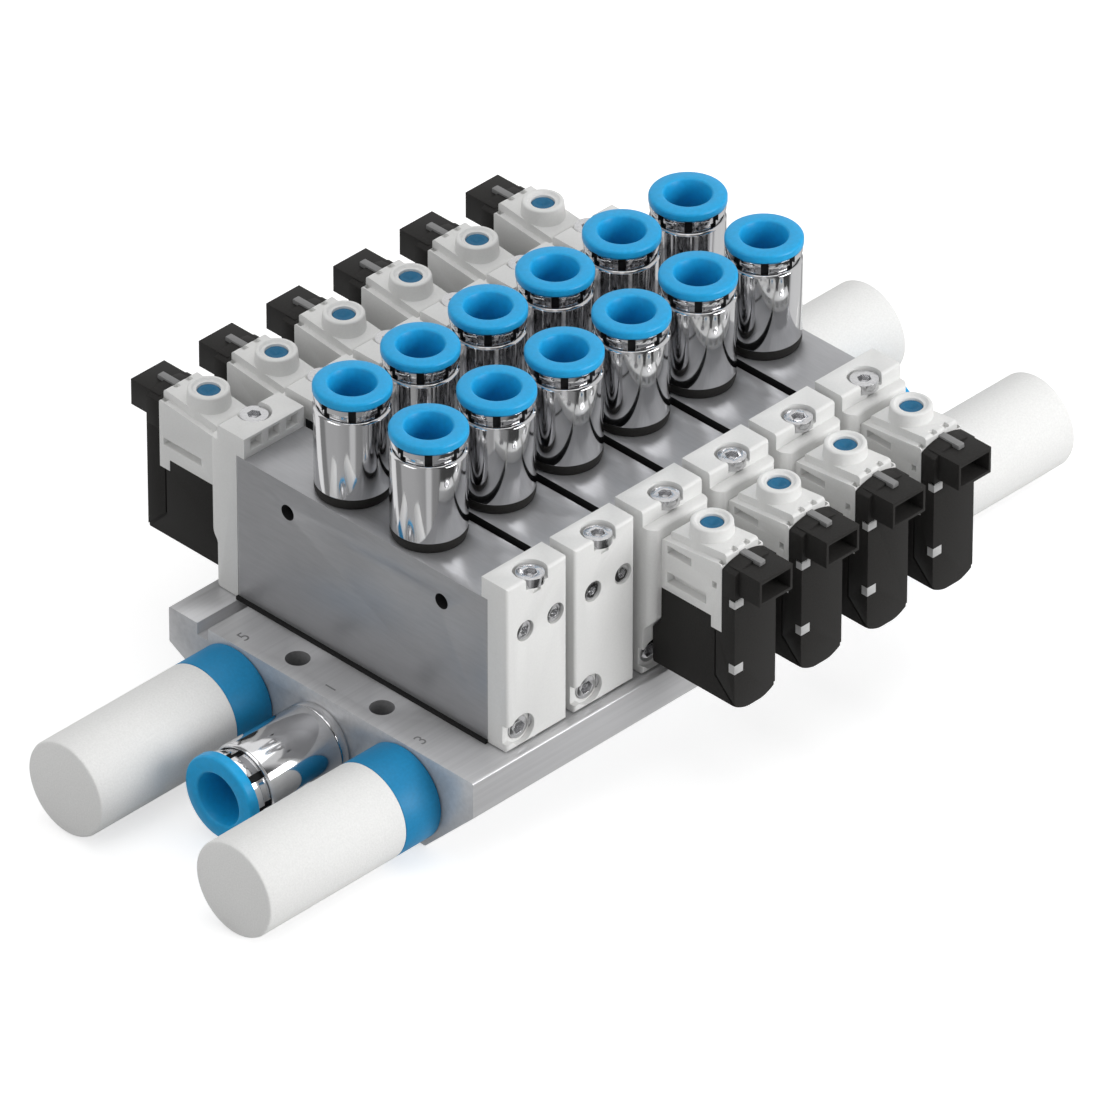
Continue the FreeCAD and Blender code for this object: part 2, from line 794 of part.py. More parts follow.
# A pilot valve is a moulded housing with a sloping crown and a tower for the manual override.
def pilot_housing():
    half = pilot_width / 2
    inner_top = pilot_bottom + pilot_inner_height
    outer_top = pilot_bottom + pilot_outer_height
    foot_start = pilot_end - pilot_foot_length
    foot_bottom = pilot_bottom - pilot_foot_drop
    housing = front_profile([
        (adapter_face, pilot_bottom),
        (foot_start, pilot_bottom),
        (foot_start, foot_bottom),
        (pilot_end, foot_bottom),
        (pilot_end, outer_top, pilot_edge_radius),
        (adapter_face, inner_top, pilot_edge_radius),
    ], -half, half)
    crown_half = pilot_crown_width / 2
    crown_start = adapter_face + pilot_crown_setback
    crown_top = outer_top + pilot_crown_rise
    crown = front_profile([
        (crown_start, inner_top - pilot_crown_overlap),
        (pilot_end, inner_top - pilot_crown_overlap),
        (pilot_end, crown_top, pilot_crown_radius),
        (crown_start, inner_top + pilot_crown_rise, pilot_crown_radius),
    ], -crown_half, crown_half)
    tower_radius = tower_diameter / 2
    tower_cup = tower_height - tower_rim_drop
    tower = turned([
        (0.0, inner_top),
        (tower_radius + tower_flare, inner_top),
        (tower_radius, tower_height, tower_rim_drop),
        (tower_radius - tower_rim, tower_height),
        (tower_radius - tower_rim - tower_rim_drop, tower_cup),
        (0.0, tower_cup),
    ])
    housing = housing.fuse([crown, moved(tower, y=-override_y)]).removeSplitter()
    plunger_bottom = tower_height - override_sink - override_length
    bore_floor = plunger_bottom - override_travel - override_floor_gap
    override_hole = override_diameter + 2 * running_clearance
    cuts = [
        upright(override_hole, 0.0, -override_y, bore_floor, tower_height),
        upright(pilot_vent_diameter, 0.0, -override_y, pilot_bottom, bore_floor),
    ]
    slot_start = adapter_face + pilot_slot_start
    for length, rise, height in (
        (pilot_long_slot_length, pilot_long_slot_rise, pilot_long_slot_height),
        (pilot_short_slot_length, pilot_short_slot_rise, pilot_short_slot_height),
    ):
        low = pilot_bottom + rise
        cuts.append(front_block(-half, -half + pilot_slot_depth, slot_start, slot_start + length,
                                low, low + height))
    window_end = pilot_end - pilot_window_setback
    window_low = pilot_bottom + pilot_window_rise
    cuts.append(front_block(-half, -half + pilot_slot_depth, window_end - pilot_window_length,
                            window_end, window_low, window_low + pilot_window_height))
    far_low = pilot_bottom + pilot_far_slot_rise
    cuts.append(front_block(half - pilot_slot_depth, half, adapter_face + pilot_far_slot_start,
                            pilot_end - pilot_far_slot_setback,
                            far_low, far_low + pilot_far_slot_height))
    hole = pilot_top_hole_size / 2
    hole_out = pilot_end - pilot_top_hole_setback
    for x, top in (
        (-pilot_top_hole_outer_x, outer_top),
        (-pilot_top_hole_inner_x, crown_top),
        (pilot_top_hole_inner_x, crown_top),
        (pilot_top_hole_outer_x, outer_top),
    ):
        cuts.append(front_block(x - hole, x + hole, hole_out - hole, hole_out + hole,
                                top - pilot_top_hole_depth, top))
    return housing.cut(cuts)


def override_plunger():
    top = tower_height - override_sink
    bottom = top - override_length
    radius = override_diameter / 2
    plunger = turned([
        (0.0, bottom),
        (radius, bottom),
        (radius, top - override_chamfer),
        (radius - override_chamfer, top),
        (override_dimple_diameter / 2, top),
        (0.0, top - override_dimple_depth),
    ])
    return moved(plunger, y=-override_y)


def socket_levels():
    """Bottom and top of the plug's hollow in a coil's socket block."""
    return socket_bottom + socket_floor_wall, socket_top - socket_floor_wall


def core_tab_places():
    """Bottom levels of the two bright ends of the coil's iron, the upper one level with the top."""
    return coil_side_bottom + core_tab_low_rise - core_tab_height / 2, coil_top - core_tab_height


# A coil is a moulded block that wraps under its pilot valve and carries the plug's socket.
def solenoid_coil():
    half = pilot_width / 2
    foot_inner = body_end + adapter_foot_thickness + coil_back_gap
    inner = adapter_face + coil_seat_gap
    foot_start = pilot_end - pilot_foot_length - coil_seat_gap
    foot_bottom = pilot_bottom - pilot_foot_drop - coil_seat_gap
    seat = pilot_bottom - coil_seat_gap
    front_inner = pilot_end + coil_seat_gap
    main = front_profile([
        (inner, seat),
        (inner, cap_bottom + adapter_bulge_rise - coil_step_gap),
        (foot_inner, cap_bottom + adapter_foot_rise - coil_step_gap),
        (foot_inner, coil_bottom, coil_corner_radius),
        (coil_end, coil_bottom, coil_front_radius),
        (coil_end, coil_top),
        (front_inner, coil_top),
        (front_inner, foot_bottom),
        (foot_start, foot_bottom),
        (foot_start, seat),
    ], -half, half)
    dome_side = coil_top + dome_side_rise
    outline = [
        Part.Arc(Vector(-half, 0, coil_side_bottom), Vector(0, 0, coil_bottom),
                 Vector(half, 0, coil_side_bottom)),
        Part.LineSegment(Vector(half, 0, coil_side_bottom), Vector(half, 0, dome_side)),
        Part.Arc(Vector(half, 0, dome_side), Vector(0, 0, coil_top + dome_rise),
                 Vector(-half, 0, dome_side)),
        Part.LineSegment(Vector(-half, 0, dome_side), Vector(-half, 0, coil_side_bottom)),
    ]
    face = Part.Face(Part.Wire([edge.toShape() for edge in outline]))
    round_shape = moved(face.extrude(Vector(0, coil_end, 0)), y=-coil_end)
    dome = front_block(-half, half, front_inner, front_inner + dome_length,
                       coil_top, coil_top + dome_rise)
    block_half = socket_block_width / 2
    mouth = coil_end + socket_block_reach
    socket_block = front_profile([
        (front_inner, socket_bottom),
        (mouth, socket_bottom, socket_edge_radius),
        (mouth, socket_top, socket_edge_radius),
        (front_inner, socket_top),
    ], -block_half, block_half)
    coil = main.fuse(dome).common(round_shape).fuse(socket_block).removeSplitter()
    hollow_half = block_half - socket_side_wall
    low, high = socket_levels()
    bore = armature_diameter + 2 * armature_clearance
    cuts = [
        front_block(-hollow_half, hollow_half, mouth - socket_depth, mouth, low, high),
        upright(bore, 0.0, -override_y, seat - armature_bore_depth, seat),
    ]
    seam_start = foot_start + seam_inset - seam_width / 2
    seam_end = seam_start + seam_width
    bend = coil_bottom + seam_bend_rise
    seam = [
        (seam_start, foot_bottom),
        (seam_end, foot_bottom),
        (seam_end, bend),
        (coil_end, coil_side_bottom + seam_width),
        (coil_end, coil_side_bottom - seam_width),
        (seam_start, bend - seam_width),
    ]
    cuts.append(front_profile(seam, -half, -half + seam_depth))
    cuts.append(front_profile(seam, half - seam_depth, half))
    for low_z in core_tab_places():
        cuts.append(front_block(-half, -half + core_tab_width, coil_end - core_tab_depth,
                                coil_end, low_z, low_z + core_tab_height))
    return coil.cut(cuts)


def core_tabs():
    """The two bright ends of the coil's iron that show at one edge of its outer face."""
    half = pilot_width / 2
    return [
        front_block(-half, -half + core_tab_width, coil_end - core_tab_depth, coil_end,
                    low_z, low_z + core_tab_height)
        for low_z in core_tab_places()
    ]


def armature():
    top = pilot_bottom
    radius = armature_diameter / 2
    return moved(turned([
        (0.0, top - armature_length),
        (radius - armature_chamfer, top - armature_length),
        (radius, top - armature_length + armature_chamfer),
        (radius, top - armature_chamfer),
        (radius - armature_chamfer, top),
        (0.0, top),
    ]), y=-override_y)


def contact_pins():
    mouth = coil_end + socket_block_reach
    back = mouth - socket_depth
    low, high = socket_levels()
    middle = (low + high) / 2
    half = pin_size / 2
    pins = []
    for x in (-pin_pitch / 2, pin_pitch / 2):
        pins.append(front_block(x - half, x + half, back, back + pin_length,
                                middle - half, middle + half))
    return pins


def latch_bar():
    start = pilot_end + coil_seat_gap + dome_length
    end = start + latch_length
    half = latch_width / 2
    head = latch_head_width / 2
    bar = front_profile([
        (start, socket_top),
        (end, socket_top),
        (end, socket_top + latch_height, latch_radius),
        (start, socket_top + latch_height),
    ], -half, half)
    return bar.fuse(front_profile([
        (end - latch_head_length, socket_top),
        (end, socket_top),
        (end, socket_top + latch_height, latch_radius),
        (end - latch_head_length, socket_top + latch_height),
    ], -head, head)).removeSplitter()


# A push-in fitting stands on its base, which is at height 0, and the tube goes in from above.
def push_in_fitting(tube, barrel, neck, ring, funnel, thread, thread_length, passage,
                    base_height, barrel_height, gap, lip, ring_height):
    barrel_top = base_height + barrel_height
    lip_bottom = barrel_top + gap
    ring_bottom = lip_bottom + lip
    ring_top = ring_bottom + ring_height
    neck_bottom = barrel_top - sleeve_reach
    skirt_bottom = neck_bottom - sleeve_skirt
    mouth_floor = neck_bottom - release_travel - sleeve_floor_gap
    collet_top = skirt_bottom - release_travel - sleeve_floor_gap
    collet_floor = collet_top - collet_height
    o_ring_floor = collet_floor - o_ring_section - 2 * thread_clearance
    socket = tube / 2 + tube_clearance
    o_ring_radius = socket + thread_clearance + o_ring_section / 2
    o_ring_seat = socket + o_ring_section + 2 * thread_clearance
    skirt = neck / 2 - metal_sleeve_wall
    collet_room = skirt + collet_play
    mouth = neck / 2 + running_clearance
    male = thread / 2
    flange = max(male, socket) + stub_flange_step
    flange_floor = base_height - stub_flange_height
    stub = turned([
        (passage / 2, -thread_length),
        (male - thread_chamfer, -thread_length),
        (male, -thread_length + thread_chamfer),
        (male, flange_floor),
        (flange, flange_floor),
        (flange, base_height),
        (passage / 2, base_height),
    ])
    body = turned([
        (socket, base_height),
        (barrel / 2 - socket_chamfer, base_height),
        (barrel / 2, base_height + socket_chamfer),
        (barrel / 2, barrel_top - barrel_chamfer),
        (barrel / 2 - barrel_chamfer, barrel_top),
        (mouth, barrel_top),
        (mouth, mouth_floor),
        (collet_room, mouth_floor),
        (collet_room, collet_floor),
        (o_ring_seat, collet_floor),
        (o_ring_seat, o_ring_floor),
        (socket, o_ring_floor),
    ])
    base_ring = turned([
        (male + thread_clearance, 0.0),
        (barrel / 2 - base_ring_taper, 0.0),
        (barrel / 2, base_height / 2),
        (barrel / 2, base_height - socket_chamfer),
        (barrel / 2 - socket_chamfer, base_height),
        (flange + thread_clearance, base_height),
        (flange + thread_clearance, flange_floor),
        (male + thread_clearance, flange_floor),
    ])
    o_ring = Part.makeTorus(o_ring_radius, o_ring_section / 2)
    o_ring = moved(o_ring, z=o_ring_floor + thread_clearance + o_ring_section / 2)
    wall = collet_room - collet_play / 2
    edge = socket + collet_edge_gap
    teeth_rise = collet_height / 3
    collet = turned([
        (wall, collet_floor),
        (wall, collet_top),
        (wall - collet_sheet, collet_top),
        (edge, collet_floor + teeth_rise),
        (edge + collet_sheet / 2, collet_floor + teeth_rise - collet_sheet),
        (wall - collet_sheet, collet_top - collet_sheet),
        (wall - collet_sheet, collet_floor),
    ])
    half_slot = collet_slot_width / 2
    slot = block(0.0, wall - 2 * collet_sheet, -half_slot, half_slot, collet_floor, collet_top)
    collet = collet.cut(all_round(slot, collet_teeth))
    blue_sleeve = turned([
        (socket, skirt_bottom),
        (skirt, skirt_bottom),
        (skirt, ring_bottom),
        (ring / 2, ring_bottom),
        (ring / 2, ring_top - ring_chamfer),
        (ring / 2 - ring_chamfer, ring_top),
        (funnel / 2, ring_top),
        (socket, ring_top - funnel_depth),
    ])
    metal_sleeve = turned([
        (skirt, neck_bottom),
        (neck / 2, neck_bottom),
        (neck / 2, lip_bottom),
        (barrel / 2 - socket_chamfer, lip_bottom),
        (barrel / 2, lip_bottom + socket_chamfer),
        (barrel / 2, ring_bottom - socket_chamfer),
        (barrel / 2 - socket_chamfer, ring_bottom),
        (skirt, ring_bottom),
    ])
    half_notch = sleeve_notch_width / 2
    notch = block(0.0, barrel, -half_notch, half_notch, barrel_top, ring_top)
    metal_sleeve = metal_sleeve.cut(all_round(notch, sleeve_notches))
    return {
        "body": [body, stub],
        "base ring": base_ring,
        "o ring": o_ring,
        "collet": collet,
        "sleeve": [blue_sleeve, metal_sleeve],
    }


def silencer():
    """Collar and porous body of an exhaust silencer, built along Z from the rail's end face."""
    outer = silencer_diameter / 2
    male = end_port_diameter / 2 - thread_clearance
    passage = silencer_passage / 2
    collar_top = silencer_collar_length
    spigot = silencer_bore / 2 - thread_clearance
    collar = turned([
        (passage, -silencer_thread_length),
        (male - thread_chamfer, -silencer_thread_length),
        (male, -silencer_thread_length + thread_chamfer),
        (male, 0.0),
        (outer, 0.0, collar_edge_radius),
        (outer, collar_top),
        (spigot, collar_top),
        (spigot, collar_top + silencer_spigot_length),
        (passage, collar_top + silencer_spigot_length),
    ])
    body_end_z = collar_top + silencer_body_length
    porous = turned([
        (silencer_bore / 2, collar_top),
        (outer, collar_top),
        (outer, body_end_z, silencer_edge_radius),
        (0.0, body_end_z),
        (0.0, body_end_z - silencer_wall_end),
        (silencer_bore / 2, body_end_z - silencer_wall_end),
    ])
    return collar, porous


def at_both_ends(piece, y):
    """Copies of a piece built along Z, set on the axis of an end port at both ends of the rail."""
    far = moved(along_x(piece), x=rail_end, y=y, z=gallery_height)
    near = moved(half_turn(along_x(piece)), x=-rail_end, y=y, z=gallery_height)
    return [near, far]


work = push_in_fitting(work_tube, work_barrel, work_neck, work_ring, work_funnel, work_thread,
                       work_thread_length, work_passage, work_base_height, work_barrel_height,
                       work_gap, work_lip, work_ring_height)
supply_thread = end_port_diameter - 2 * thread_clearance
supply = push_in_fitting(supply_tube, supply_barrel, supply_neck, supply_ring, supply_funnel,
                         supply_thread, supply_thread_length, supply_passage,
                         supply_base_height, supply_barrel_height, supply_gap, supply_lip,
                         supply_ring_height)
work_ports = {"port2": work_port_offset, "port4": -work_port_offset}


def on_work_ports(piece):
    return [
        moved(piece, x=station_x(n), y=y, z=body_top)
        for y in work_ports.values()
        for n in stations
    ]


save("manifold_rail", [manifold_rail()])
save("base_gaskets", [moved(base_gasket(), x=station_x(n)) for n in stations])
for n in stations:
    has_cap = n in front_cap_stations
    save(f"valve_body_{n}", [moved(valve_body(has_cap), x=station_x(n))])
    save(f"spool_{n}", [moved(piece, x=station_x(n)) for piece in spool_set(not has_cap)])
    if has_cap:
        save(f"return_spring_{n}", [moved(return_spring(), x=station_x(n))])
save("spool_seals", spool_seals())

adapters = on_all_pilots(pilot_adapter())
save("end_caps", [moved(end_cap(), x=station_x(n)) for n in front_cap_stations])
save("pilot_adapters", adapters)
top_screws = on_all_pilots(top_screw())
top_screws += [moved(top_screw(), x=station_x(n)) for n in front_cap_stations]
save("top_screws", top_screws)
face_screws = on_all_pilots(foot_screw(foot_screw_adapter_x))
for n in front_cap_stations:
    face_screws.append(moved(foot_screw(foot_screw_cap_x), x=station_x(n)))
    for x in (cap_screw_left_x, cap_screw_right_x):
        face_screws.append(moved(cap_screw(x), x=station_x(n)))
save("face_screws", face_screws)

housing = pilot_housing()
coil = solenoid_coil()
plunger = override_plunger()
pin_pair = contact_pins()
tab_pair = core_tabs()
save("pilot_housings_14", [moved(half_turn(housing), x=station_x(n)) for n in stations])
save("pilot_housings_12", [moved(housing, x=station_x(n)) for n in front_pilot_stations])
save("solenoid_coils_14", [moved(half_turn(coil), x=station_x(n)) for n in stations])
save("solenoid_coils_12", [moved(coil, x=station_x(n)) for n in front_pilot_stations])
for n in stations:
    save(f"override_plunger_14_{n}", [moved(half_turn(plunger), x=station_x(n))])
for n in front_pilot_stations:
    save(f"override_plunger_12_{n}", [moved(plunger, x=station_x(n))])
save("armatures", on_all_pilots(armature()))
save("contact_pins", [copy for pin in pin_pair for copy in on_all_pilots(pin)])
save("core_tabs", [copy for tab in tab_pair for copy in on_all_pilots(tab)])
save("latch_bars", on_all_pilots(latch_bar()))

supply_pieces = supply["body"] + [supply["base ring"]]
save("push_in_fittings", [copy for piece in work["body"] for copy in on_work_ports(piece)])
save("supply_fittings", [copy for piece in supply_pieces for copy in at_both_ends(piece, 0.0)])
save("fitting_base_rings", on_work_ports(work["base ring"]))
for node, piece in (("tube_o_rings", "o ring"), ("grip_collets", "collet")):
    save(node, on_work_ports(work[piece]) + at_both_ends(supply[piece], 0.0))
for port, y in work_ports.items():
    for n in stations:
        sleeve = [moved(piece, x=station_x(n), y=y, z=body_top) for piece in work["sleeve"]]
        save(f"release_ring_{port}_{n}", sleeve)
for index, end in enumerate(("near", "far")):
    sleeve = [at_both_ends(piece, 0.0)[index] for piece in supply["sleeve"]]
    save(f"supply_release_ring_{end}", sleeve)

collar, porous = silencer()
save("silencer_collars", at_both_ends(collar, -exhaust_offset) + at_both_ends(collar, exhaust_offset))
save("silencer_bodies", at_both_ends(porous, -exhaust_offset) + at_both_ends(porous, exhaust_offset))
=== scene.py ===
import bpy
import json
import math
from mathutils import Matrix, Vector


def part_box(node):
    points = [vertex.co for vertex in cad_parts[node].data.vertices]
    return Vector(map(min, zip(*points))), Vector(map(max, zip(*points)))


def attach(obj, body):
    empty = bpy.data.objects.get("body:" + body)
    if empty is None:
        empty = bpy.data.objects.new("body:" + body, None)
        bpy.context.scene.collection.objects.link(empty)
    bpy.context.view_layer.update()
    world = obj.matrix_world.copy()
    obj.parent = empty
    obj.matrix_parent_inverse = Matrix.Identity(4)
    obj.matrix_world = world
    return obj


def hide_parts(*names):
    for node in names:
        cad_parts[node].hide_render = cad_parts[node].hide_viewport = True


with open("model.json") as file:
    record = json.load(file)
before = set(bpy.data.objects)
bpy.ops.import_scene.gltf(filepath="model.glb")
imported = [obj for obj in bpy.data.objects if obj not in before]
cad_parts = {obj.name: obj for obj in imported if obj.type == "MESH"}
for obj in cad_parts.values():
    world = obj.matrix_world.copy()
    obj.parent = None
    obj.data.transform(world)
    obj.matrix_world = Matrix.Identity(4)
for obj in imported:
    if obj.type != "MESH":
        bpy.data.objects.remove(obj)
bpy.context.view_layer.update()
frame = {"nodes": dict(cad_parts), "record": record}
print("frame loaded")

mm = 0.001
stations = range(1, 7)
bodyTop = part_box("valve_body_1")[1].z
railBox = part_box("manifold_rail")
railEnd = railBox[1].x
galleryZ = sum(corner.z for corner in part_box("supply_fittings")) / 2
slotOf = {part["node"]: part["material_slot"] for part in frame["record"]["subparts"]}


def middleOf(node):
    low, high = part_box(node)
    return (low + high) / 2


# Camera, at the photo's viewing angle

cameraSetup = {
    "azimuth": -45.204,
    "elevation": 35.048,
    "distance": 3.516,
    "lens": 503.2,
    "aim": (-0.055, 0.0, 0.0955),
    "sideways": 0.036512,
    "upwards": -0.033587,
}


def addCamera(setup):
    azimuth = math.radians(setup["azimuth"])
    elevation = math.radians(setup["elevation"])
    back = Vector((math.sin(azimuth) * math.cos(elevation),
                   -math.cos(azimuth) * math.cos(elevation), math.sin(elevation)))
    right = Vector((math.cos(azimuth), math.sin(azimuth), 0))
    up = back.cross(right)
    bpy.ops.object.select_all(action="DESELECT")
    bpy.ops.object.camera_add()
    camera = bpy.context.object
    camera.data.lens = setup["lens"]
    camera.data.clip_end = 50
    camera.location = (Vector(setup["aim"]) + right * setup["sideways"]
                       + up * setup["upwards"] + back * setup["distance"])
    camera.rotation_euler = back.to_track_quat("Z", "Y").to_euler()
    bpy.context.scene.camera = camera


addCamera(cameraSetup)
bpy.context.scene.view_settings.view_transform = "Standard"
print("camera set")


# Finishes: colour, metal, roughness from and to, grain per metre and its stretch, spread of the
# colour, and the bump's depth in metres and strength

finishes = {
    "drawnAluminium": {"color": (0.6, 0.6, 0.61), "metal": 0.4, "rough": (0.34, 0.44),
                       "grain": 900, "stretch": (0.02, 1, 1), "spread": 0.06,
                       "bump": (0.00003, 0.25)},
    "milledAluminium": {"color": (0.42, 0.422, 0.435), "metal": 0.6, "rough": (0.34, 0.46),
                        "grain": 1400, "stretch": (1, 0.12, 1), "spread": 0.05,
                        "bump": (0.00002, 0.2)},
    "brightNickel": {"color": (0.72, 0.72, 0.73), "metal": 1, "rough": (0.07, 0.12),
                     "grain": 300, "stretch": (1, 1, 0.2), "spread": 0.03,
                     "bump": (0.00001, 0.03)},
    "ringBlue": {"color": (0.012, 0.36, 0.71), "metal": 0, "rough": (0.3, 0.42),
                 "specular": 0.3, "grain": 900, "stretch": (1, 1, 1), "spread": 0.06,
                 "bump": (0.00003, 0.12)},
    "collarBlue": {"color": (0.01, 0.23, 0.47), "metal": 0, "rough": (0.42, 0.55),
                   "specular": 0.3, "grain": 1200, "stretch": (1, 1, 1), "spread": 0.06,
                   "bump": (0.00004, 0.2)},
    # A darker copy of the collars' blue: painted shade for the plungers sunk in their towers
    "plungerPaintedShadeBlue": {"color": (0.008, 0.13, 0.26), "metal": 0, "rough": (0.42, 0.55),
                    "specular": 0.3, "grain": 1200, "stretch": (1, 1, 1), "spread": 0.06,
                    "bump": (0.00004, 0.2)},
    "whitePlastic": {"color": (0.73, 0.73, 0.72), "metal": 0, "rough": (0.42, 0.54),
                     "grain": 1800, "stretch": (1, 1, 1), "spread": 0.02,
                     "bump": (0.00003, 0.15)},
    "porousWhite": {"color": (0.8, 0.8, 0.79), "metal": 0, "rough": (0.8, 0.95),
                    "grain": 2200, "stretch": (1, 1, 1), "spread": 0.04,
                    "bump": (0.00012, 0.6)},
    "coilBlack": {"color": (0.024, 0.023, 0.022), "metal": 0, "rough": (0.45, 0.6),
                  "specular": 0.12, "grain": 2200, "stretch": (1, 1, 1), "spread": 0.15,
                  "bump": (0.00004, 0.3)},
    "latchGrey": {"color": (0.2, 0.2, 0.2), "metal": 0, "rough": (0.35, 0.5),
                  "grain": 1500, "stretch": (1, 1, 1), "spread": 0.05, "bump": (0.00003, 0.15)},
    "sealRubber": {"color": (0.012, 0.012, 0.012), "metal": 0, "rough": (0.55, 0.7),
                   "specular": 0.2, "grain": 1500, "stretch": (1, 1, 1), "spread": 0.2,
                   "bump": (0.00004, 0.25)},
    "screwSteel": {"color": (0.62, 0.62, 0.63), "metal": 1, "rough": (0.16, 0.28),
                   "grain": 1500, "stretch": (1, 1, 1), "spread": 0.06, "bump": (0.00002, 0.15)},
    "dullSteel": {"color": (0.5, 0.5, 0.5), "metal": 0.2, "rough": (0.4, 0.5),
                  "grain": 1500, "stretch": (1, 1, 1), "spread": 0.06, "bump": (0.00002, 0.15)},
    "tinnedPin": {"color": (0.75, 0.7, 0.55), "metal": 1, "rough": (0.2, 0.3),
                  "grain": 1500, "stretch": (1, 1, 1), "spread": 0.05, "bump": (0.00002, 0.1)},
    # A near-black finish of painted shade, for side holes, gaps between bodies and the collars'
    # hidden skirts
    "paintedShadeBlack": {"color": (0.02, 0.02, 0.021), "metal": 0, "rough": (0.5, 0.6), "specular": 0.1,
                  "grain": 1500, "stretch": (1, 1, 1), "spread": 0.1, "bump": (0.00002, 0.1)},
    # A dark grey finish: print for the port numbers, painted shade inside the rail's foot holes
    "printAndPaintedShade": {"color": (0.2, 0.2, 0.205), "metal": 0, "rough": (0.5, 0.6),
                  "grain": 1500, "stretch": (1, 1, 1), "spread": 0.1, "bump": (0.00002, 0.1)},
}
finishOfSlot = {
    "rail_aluminium": "drawnAluminium",
    "body_aluminium": "milledAluminium",
    "nickel_brass": "brightNickel",
    "release_ring_blue": "ringBlue",
    "blue_plastic": "collarBlue",
    "white_plastic": "whitePlastic",
    "black_plastic": "coilBlack",
    "grey_plastic": "latchGrey",
    "porous_plastic": "porousWhite",
    "black_rubber": "sealRubber",
    "steel": "screwSteel",
    "pin_brass": "tinnedPin",
    "spool_aluminium": "milledAluminium",
}


def buildFinish(name, facts):
    material = bpy.data.materials.new(name)
    material.use_nodes = True
    material.diffuse_color = (*facts["color"], 1)
    nodes, links = material.node_tree.nodes, material.node_tree.links
    shader = nodes["Principled BSDF"]
    shader.inputs["Metallic"].default_value = facts["metal"]
    shader.inputs["Specular IOR Level"].default_value = facts.get("specular", 0.5)
    place = nodes.new("ShaderNodeTexCoord")
    mapping = nodes.new("ShaderNodeMapping")
    mapping.inputs["Scale"].default_value = facts["stretch"]
    grain = nodes.new("ShaderNodeTexNoise")
    grain.inputs["Scale"].default_value = facts["grain"]
    grain.inputs["Detail"].default_value = 4
    links.new(place.outputs["Object"], mapping.inputs["Vector"])
    links.new(mapping.outputs["Vector"], grain.inputs["Vector"])

    tint = nodes.new("ShaderNodeValToRGB")  # the grain's dark and light colour
    for element, position, sign in zip(tint.color_ramp.elements, (0.3, 0.7), (-1, 1)):
        element.position = position
        element.color = (*[c * (1 + sign * facts["spread"]) for c in facts["color"]], 1)
    links.new(grain.outputs["Fac"], tint.inputs["Fac"])
    links.new(tint.outputs["Color"], shader.inputs["Base Color"])

    gloss = nodes.new("ShaderNodeMapRange")
    gloss.inputs["To Min"].default_value, gloss.inputs["To Max"].default_value = facts["rough"]
    links.new(grain.outputs["Fac"], gloss.inputs["Value"])
    links.new(gloss.outputs["Result"], shader.inputs["Roughness"])

    bump = nodes.new("ShaderNodeBump")
    bump.inputs["Distance"].default_value, bump.inputs["Strength"].default_value = facts["bump"]
    links.new(grain.outputs["Fac"], bump.inputs["Height"])
    links.new(bump.outputs["Normal"], shader.inputs["Normal"])
    return material


finish = {name: buildFinish(name, facts) for name, facts in finishes.items()}
finishOfNode = {node: finishOfSlot[slotName] for node, slotName in slotOf.items()}
finishOfNode["core_tabs"] = "dullSteel"
# Plungers take the darker blue, painted shade for their recess
finishOfNode.update({node: "plungerPaintedShadeBlue" for node in slotOf if node.startswith("override_plunger")})
for node, finishName in finishOfNode.items():
    nodeMesh = frame["nodes"][node].data
    nodeMesh.materials.clear()
    nodeMesh.materials.append(finish[finishName])
print("finishes mixed:", len(finish))


# Helpers for modelling

def onlySelect(piece):
    bpy.ops.object.select_all(action="DESELECT")
    piece.select_set(True)
    bpy.context.view_layer.objects.active = piece


def roundEdges(piece, width, angle=35):
    modifier = piece.modifiers.new("edges", "BEVEL")
    modifier.width = width
    modifier.segments = 2
    modifier.limit_method = "ANGLE"
    modifier.angle_limit = math.radians(angle)
    onlySelect(piece)
    bpy.ops.object.modifier_apply(modifier=modifier.name)
    bpy.ops.object.shade_smooth_by_angle(angle=math.radians(35))


def belongs(piece, body, slotName, *nodes):
    piece.data.materials.clear()
    piece.data.materials.append(finish[finishOfSlot[slotName]])
    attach(piece, body)
    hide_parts(*nodes)


def placedCopy(pattern, name, location, turn=(0, 0, 0)):
    piece = pattern.copy()
    piece.data = pattern.data.copy()
    piece.name = piece.data.name = name
    bpy.context.scene.collection.objects.link(piece)
    piece.rotation_euler = turn
    piece.location = location
    onlySelect(piece)
    bpy.ops.object.transform_apply(location=True, rotation=True, scale=True)
    return piece


def addBox(name, low, high):
    bpy.ops.object.select_all(action="DESELECT")
    bpy.ops.mesh.primitive_cube_add(size=1, location=[(a + b) / 2 * mm for a, b in zip(low, high)])
    box = bpy.context.object
    box.name = name
    box.scale = [(b - a) * mm for a, b in zip(low, high)]
    bpy.ops.object.transform_apply(location=True, rotation=True, scale=True)
    return box


def combine(piece, tool, operation):
    modifier = piece.modifiers.new("shape", "BOOLEAN")
    modifier.operation = operation
    modifier.object = tool
    onlySelect(piece)
    bpy.ops.object.modifier_apply(modifier=modifier.name)
    bpy.data.objects.remove(tool)


# Moulded, milled and drawn pieces: the node's own faces, merged, with their sharp edges broken

edgeBreaks = {
    "manifold_rail": 0.3,
    "end_caps": 0.3,
    "pilot_adapters": 0.3,
    "pilot_housings_14": 0.25,
    "pilot_housings_12": 0.25,
    "top_screws": 0.12,
    "face_screws": 0.1,
    "core_tabs": 0.1,
}
edgeBreaks.update({f"valve_body_{n}": 0.18 for n in stations})
sideHoles = {"radius": 2.0, "drop": 7.8, "row": (-26.2, 24.1)}
footHoles = {"radius": 3.0, "x": 72.0, "y": 13.85}
rowEnd = railEnd - 8.5 * mm  # past this there is no next body
bodyWidth = 20 * mm


